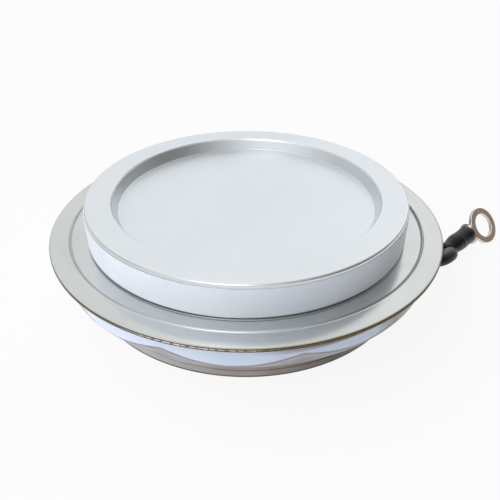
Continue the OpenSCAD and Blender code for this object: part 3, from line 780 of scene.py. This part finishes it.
ceramic = spun("ceramicRing", ceramicOutline(), change=glazeFlow)
past, half = ceramicRing["holePast"], ceramicRing["holeHalf"]
pierce(ceramic, blockAlong(gateDir, ceramicRing["bore"] - past, ceramicRing["radius"] + past, 2 * half,
                           gateLead["exitHeight"] - half, gateLead["exitHeight"] + half))

# The white's lower edge is a row of arches, two for each of lobes, turned by an angle in degrees. rounding and
# power blunt the points between them. Places above or below that edge are in millimetres
glazeLook = {
    "shader": {"Coat Weight": 0.6, "Coat Roughness": 0.05, "IOR": 1.52},
    "lobes": 5, "turned": 110, "rounding": 0.004, "power": 0.95,
    "whiteHead": 8.75, "whiteFoot": 7.1, "uneven": 0.2,
    "greyEdge": (0.12, -0.12), "lineBelow": (-0.4, -0.15), "lineAbove": (0.12, -0.08), "lineShare": 0.75,
    "white": (222, 235, 253), "whiteTint": (202, 217, 243), "tintShare": 0.5,
    "greyDeep": (150, 144, 144), "grey": (202, 196, 204), "greyFade": (-1.8, 0.0),
    "streakStep": 4.0, "streakScale": 1.2, "streaks": (0.48, 0.62), "streakShare": 0.45,
    "streak": (128, 122, 122), "line": (112, 110, 120),
    "brownShadeAt": -36, "brownShadeUneven": 0.06, "brownShadeEdge": (0.34, 0.2), "brownShadeShare": 0.85, "brownShade": (108, 99, 86),
    "brimShadeUneven": 0.15, "brimShadeHeight": (9.1, 9.55), "brimShadeSide": (0.0, 0.35), "brimShadeShare": 0.8,
    "brimShade": (96, 86, 66), "shine": 0.16, "smudgeGloss": 0.1,
    "cloudSize": 8.0, "seed": 4.0, "grain": 0.9, "swell": 6.0,
    "swellBump": (0.15, 0.0004), "grainBump": (0.06, 0.00004),
}


def glaze():
    look = glazeLook
    tree, finish = newMaterial("whiteGlaze", **look["shader"])
    at = use(tree, "ringPlace")
    small = use(tree, "grain", {"Grain": look["grain"], "Swell": look["swell"]})
    traces = use(tree, "handling", {"Size": look["cloudSize"], "Seed": look["seed"]})
    cloud = traces["Cloud"]
    # Lower edge of the white, with a thin darker line along it
    wave = calc(tree, "COSINE", plus(tree, times(tree, at["Angle"], look["lobes"]), np.radians(look["turned"])))
    wave = calc(tree, "SQRT", plus(tree, times(tree, wave, wave), look["rounding"]))
    wave = calc(tree, "POWER", wave, look["power"])
    edge = plus(tree, span(tree, wave, 0.0, 1.0, look["whiteHead"], look["whiteFoot"]),
                times(tree, at["Cosine"], look["uneven"]))
    above = minus(tree, at["Height"], edge)
    line = times(tree, span(tree, above, *look["lineBelow"]), span(tree, above, *look["lineAbove"]))
    white = blend(tree, times(tree, cloud, look["tintShare"]), rgb(*look["white"]), rgb(*look["whiteTint"]))
    grey = blend(tree, span(tree, above, *look["greyFade"]), rgb(*look["greyDeep"]), rgb(*look["grey"]))
    ring = add(tree, "CombineXYZ", {0: at["Sine"], 1: at["Cosine"]}).outputs[0]
    streaks = noise(tree, ring, look["streakScale"], detail=3.0,
                    through=times(tree, at["Height"], look["streakStep"]))
    streaks = span(tree, streaks, *look["streaks"], 0.0, look["streakShare"])
    grey = blend(tree, streaks, grey, rgb(*look["streak"]))
    colour = blend(tree, span(tree, above, *look["greyEdge"]), white, grey)
    colour = blend(tree, times(tree, line, look["lineShare"]), colour, rgb(*look["line"]))
    # Painted shade: a brown patch beside the gate's feedthrough, where the glaze lies in shade
    brownShade = calc(tree, "ABSOLUTE", minus(tree, at["Angle"], np.radians(look["brownShadeAt"])))
    brownShade = span(tree, plus(tree, brownShade, times(tree, cloud, look["brownShadeUneven"])), *look["brownShadeEdge"])
    colour = blend(tree, times(tree, brownShade, look["brownShadeShare"]), colour, rgb(*look["brownShade"]))
    # Painted shade: brown shade below the sheet, round the right side, where the weld is darker too
    height = plus(tree, at["Height"], times(tree, cloud, look["brimShadeUneven"]))
    brimShade = times(tree, span(tree, height, *look["brimShadeHeight"]),
                   span(tree, at["Cosine"], *look["brimShadeSide"]))
    colour = blend(tree, times(tree, brimShade, look["brimShadeShare"]), colour, rgb(*look["brimShade"]))
    rough = plus(tree, look["shine"], times(tree, traces["Smudge"], look["smudgeGloss"]))
    slow = bump(tree, small["Swell"], *look["swellBump"])
    return finish(colour, rough, bump(tree, small["Grain"], *look["grainBump"], Normal=slow))


stand(ceramic, glaze(), "ceramic_ring")

# Label film, wound once round the wall and lapped over its own start. Angles are in degrees. wander holds the
# size, number round the wall and phase of each wave of its edges
labelBand = {"radius": 30.9, "film": 0.12, "seam": 96, "lap": 14, "climb": 3, "points": 420, "round": 0.05,
             "arcSteps": 4, "hold": 0.03, "wander": [(0.03, 3, 1), (0.02, 8, 0)], "inset": 0.05,
             "uvAround": 400, "uvAlong": 20}


def labelGrid():
    # The film's section runs along an angle from the seam to a full turn and the lap more. Its inner face stays
    # on the wall, then climbs over the film's start
    b, h = labelBand, housing
    a = np.radians(b["seam"]) + np.linspace(0, 2 * np.pi + np.radians(b["lap"]), b["points"])
    climb = np.radians(b["climb"])
    rise = b["film"] * ease((a - a[0] - 2 * np.pi + climb) / climb)
    section, edge = softened([(0, 0), (b["film"], 0), (b["film"], h["labelHeight"]), (0, h["labelHeight"])],
                             b["round"], steps=b["arcSteps"], hold=b["hold"])
    wander = sum(size * np.sin(number * a + phase) for size, number, phase in b["wander"]) - b["inset"]
    r = b["radius"] + rise[:, None] + section[None, :, 0]
    upper = section[:, 1] > h["labelHeight"] / 2
    z = h["label"] + section[None, :, 1] + np.where(upper[None], wander[:, None], -wander[:, None])
    grid = spin(r, z, a[:, None])
    start, end = (np.broadcast_to(grid[k].mean(0), grid[0].shape)[None] for k in (0, -1))
    return np.concatenate([start, grid, end], 0), edge


bandGrid, bandEdge = labelGrid()
band = skin("labelBand", bandGrid, np.arange(bandGrid.shape[0]) / labelBand["uvAround"],
            np.arange(bandGrid.shape[1] + 1) / labelBand["uvAlong"], False, True, bandEdge)
labelFilm = moulded("labelFilm", (236, 242, 250), (226, 233, 243), shine=0.3, size=0.5, depth=0.05, seed=7.0,
                    **{"Coat Weight": 0.3, "Coat Roughness": 0.15})
stand(band, labelFilm, "label_band")
print("housing made")

# Pieces that keep their CAD shape. A metal has colour, tint, shine, pitch, depth and seed, a plastic has
# colour, tint, shine and seed
silver = ((236, 235, 232), (214, 212, 206), 0.26, 0.5, 0.06)
braze = ((206, 200, 186), (180, 172, 154), 0.32, 0.4, 0.12)
metals = {
    "gate_tube": ((170, 164, 150), (130, 122, 108), 0.35, 0.2, 0.1),
    "seat_flange": ((176, 176, 174), (150, 150, 146), 0.34, 0.25, 0.1),
    "gate_spring": ((176, 176, 172), (140, 140, 136), 0.28, 0.1, 0.1),
    "gate_pin": ((226, 226, 228), (200, 200, 204), 0.22, 0.1, 0.1),
    "gate_wire": ((222, 222, 224), (196, 196, 200), 0.25, 0.1, 0.1),
    "anode_molybdenum_disc": ((132, 134, 142), (112, 114, 122), 0.4, 0.15, 0.2),
    "cathode_molybdenum_disc": ((134, 136, 144), (112, 114, 122), 0.4, 0.15, 0.2, 2.0),
    "silicon_wafer": ((86, 92, 108), (70, 76, 94), 0.14, 0.8, 0.03),
    "lower_silver_foil": silver,
    "upper_silver_foil": silver,
    "base_braze_ring": braze,
    "cap_braze_ring": braze,
    "ceramic_braze_lower": braze,
    "ceramic_braze_upper": braze,
}
plastics = {
    "junction_coating": ((236, 236, 232), (222, 222, 216), 0.4),
    "locating_ring": ((226, 220, 202), (212, 205, 186), 0.42),
    "gate_cup": ((226, 226, 218), (212, 212, 202), 0.38),
    "gate_bush": ((230, 226, 208), (216, 210, 190), 0.38, 2.0),
    "gate_wire_sleeve": ((232, 232, 230), (218, 218, 216), 0.3, 5.0),
}
for maker, finishes in ((turnedMetal, metals), (moulded, plastics)):
    for name, values in finishes.items():
        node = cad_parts[name]
        node.data.materials.clear()
        node.data.materials.append(maker("finish_" + name, *values))
print("carried pieces finished:", len(metals) + len(plastics))

# Floor and light. The floor shows white to the camera and to mirrors, and keeps a share of its own shade. The
# dark side is a direction, and pairs are the two values between which something changes
studio = {"floorShade": 0.1, "floorGrey": 0.8, "floorSize": 3.0, "floorDrop": 2e-5,
          "paleRoom": (2.2, 2.2, 2.24, 1), "darkRoom": (0.03, 0.028, 0.026, 1), "roomTurn": (-0.6, 0.75),
          "darkSide": (0.9, -0.22, 0.36), "darkSpread": (0.15, 1.0), "darkFall": 1.5,
          "darkMirror": (0.17, 0.155, 0.14, 1),
          "skirtingFoot": (-0.02, 0.02), "skirtingHead": (0.2, 0.1), "skirtingShare": 0.8}
# Soft patches that only gloss shows: azimuth, elevation, inner and outer reach in degrees, and brightness
patches = [(66, 28, 4, 18, 1.2), (178, 24, 8, 40, 0.6), (148, 8, 14, 32, 0.6), (94, 43, 1, 3, 2.4)]
keyLamp = {"place": (-0.13, -0.33, 0.56), "aim": (0, 0, 0.01), "size": 0.3, "power": 0.5,
           "colour": (0.94, 0.97, 1)}
white = (1, 1, 1, 1)


def seenDirectly(tree):
    # 1 for rays from the camera, from gloss and through glass
    path = add(tree, "LightPath").outputs
    share = calc(tree, "MAXIMUM", path["Is Camera Ray"], path["Is Glossy Ray"])
    return calc(tree, "MAXIMUM", share, path["Is Transmission Ray"])


def floorMaterial():
    material = bpy.data.materials.new("paleFloor")
    tree = emptied(material)
    grey = studio["floorGrey"]
    matt = add(tree, "BsdfDiffuse", {"Color": (grey, grey, grey, 1)}).outputs[0]
    glow = add(tree, "Emission", {"Color": white, "Strength": 1.0}).outputs[0]
    kept = add(tree, "MixShader", {0: studio["floorShade"], 1: glow, 2: matt}).outputs[0]
    surface = add(tree, "MixShader", {0: seenDirectly(tree), 1: matt, 2: kept}).outputs[0]
    add(tree, "OutputMaterial", {0: surface})
    return material


floorMesh = bpy.data.meshes.new("floor")
reach, drop = studio["floorSize"] / 2, studio["floorDrop"]
floorMesh.from_pydata([(x * reach, y * reach, -drop) for x, y in ((-1, -1), (1, -1), (1, 1), (-1, 1))], [],
                      [(0, 1, 2, 3)])
floorMesh.materials.append(floorMaterial())
floor = shown("floor", floorMesh)


def towardsSide(tree, towards, direction):
    # Cosine of the angle between where a ray goes and a direction
    return add(tree, "VectorMath", {0: towards, 1: direction}, operation="DOT_PRODUCT").outputs["Value"]


def background(tree, colour):
    return add(tree, "Background", {"Color": colour, "Strength": 1.0}).outputs[0]


def roomColour(tree, side):
    # What lights matt surfaces: pale at the left and behind, darker and browner to the right of the camera
    return blend(tree, span(tree, side, *studio["roomTurn"]), studio["paleRoom"], studio["darkRoom"])


def mirrorColour(tree, towards, side):
    # What gloss shows: white, the dark side, a dark skirting just above the floor that draws the rounded edges
    # as thin lines, and the soft patches
    dark = calc(tree, "POWER", span(tree, side, *studio["darkSpread"]), studio["darkFall"])
    colour = blend(tree, dark, white, studio["darkMirror"])
    height = add(tree, "SeparateXYZ", {0: towards}).outputs[2]
    skirting = times(tree, span(tree, height, *studio["skirtingFoot"]),
                     span(tree, height, *studio["skirtingHead"]))
    colour = blend(tree, times(tree, skirting, studio["skirtingShare"]), colour, studio["darkMirror"])
    for azimuth, elevation, inner, outer, brightness in patches:
        a, e = np.radians([azimuth, elevation])
        near = towardsSide(tree, towards, (np.cos(a) * np.cos(e), np.sin(a) * np.cos(e), np.sin(e)))
        share = span(tree, near, *np.cos(np.radians([outer, inner])))
        colour = blend(tree, share, colour, (brightness, brightness, brightness, 1))
    return colour


world = bpy.data.worlds.new("studioRoom")
scene.world = world
tree = emptied(world)
towards = add(tree, "TexCoord").outputs["Generated"]
darkSide = towardsSide(tree, towards, unit(np.array(studio["darkSide"])))
room = background(tree, roomColour(tree, darkSide))
mirrored = background(tree, mirrorColour(tree, towards, darkSide))
glossy = add(tree, "LightPath").outputs["Is Glossy Ray"]
bright = add(tree, "MixShader", {0: glossy, 1: background(tree, white), 2: mirrored}).outputs[0]
whole = add(tree, "MixShader", {0: seenDirectly(tree), 1: room, 2: bright}).outputs[0]
add(tree, "OutputWorld", {0: whole})

lampData = bpy.data.lights.new("keyLamp", "AREA")
lampData.shape, lampData.size = "DISK", keyLamp["size"]
lampData.energy, lampData.color = keyLamp["power"], keyLamp["colour"]
lamp = shown("keyLamp", lampData)
lampPlace = np.array(keyLamp["place"])
back = unit(lampPlace - np.array(keyLamp["aim"]))
side = unit(np.cross([0, 0, 1.0], back))
lampTurn = Matrix([side, np.cross(back, side), back]).transposed().to_4x4()
lamp.matrix_world = Matrix.Translation(lampPlace) @ lampTurn

scene.view_settings.view_transform = "Standard"
print("light set")
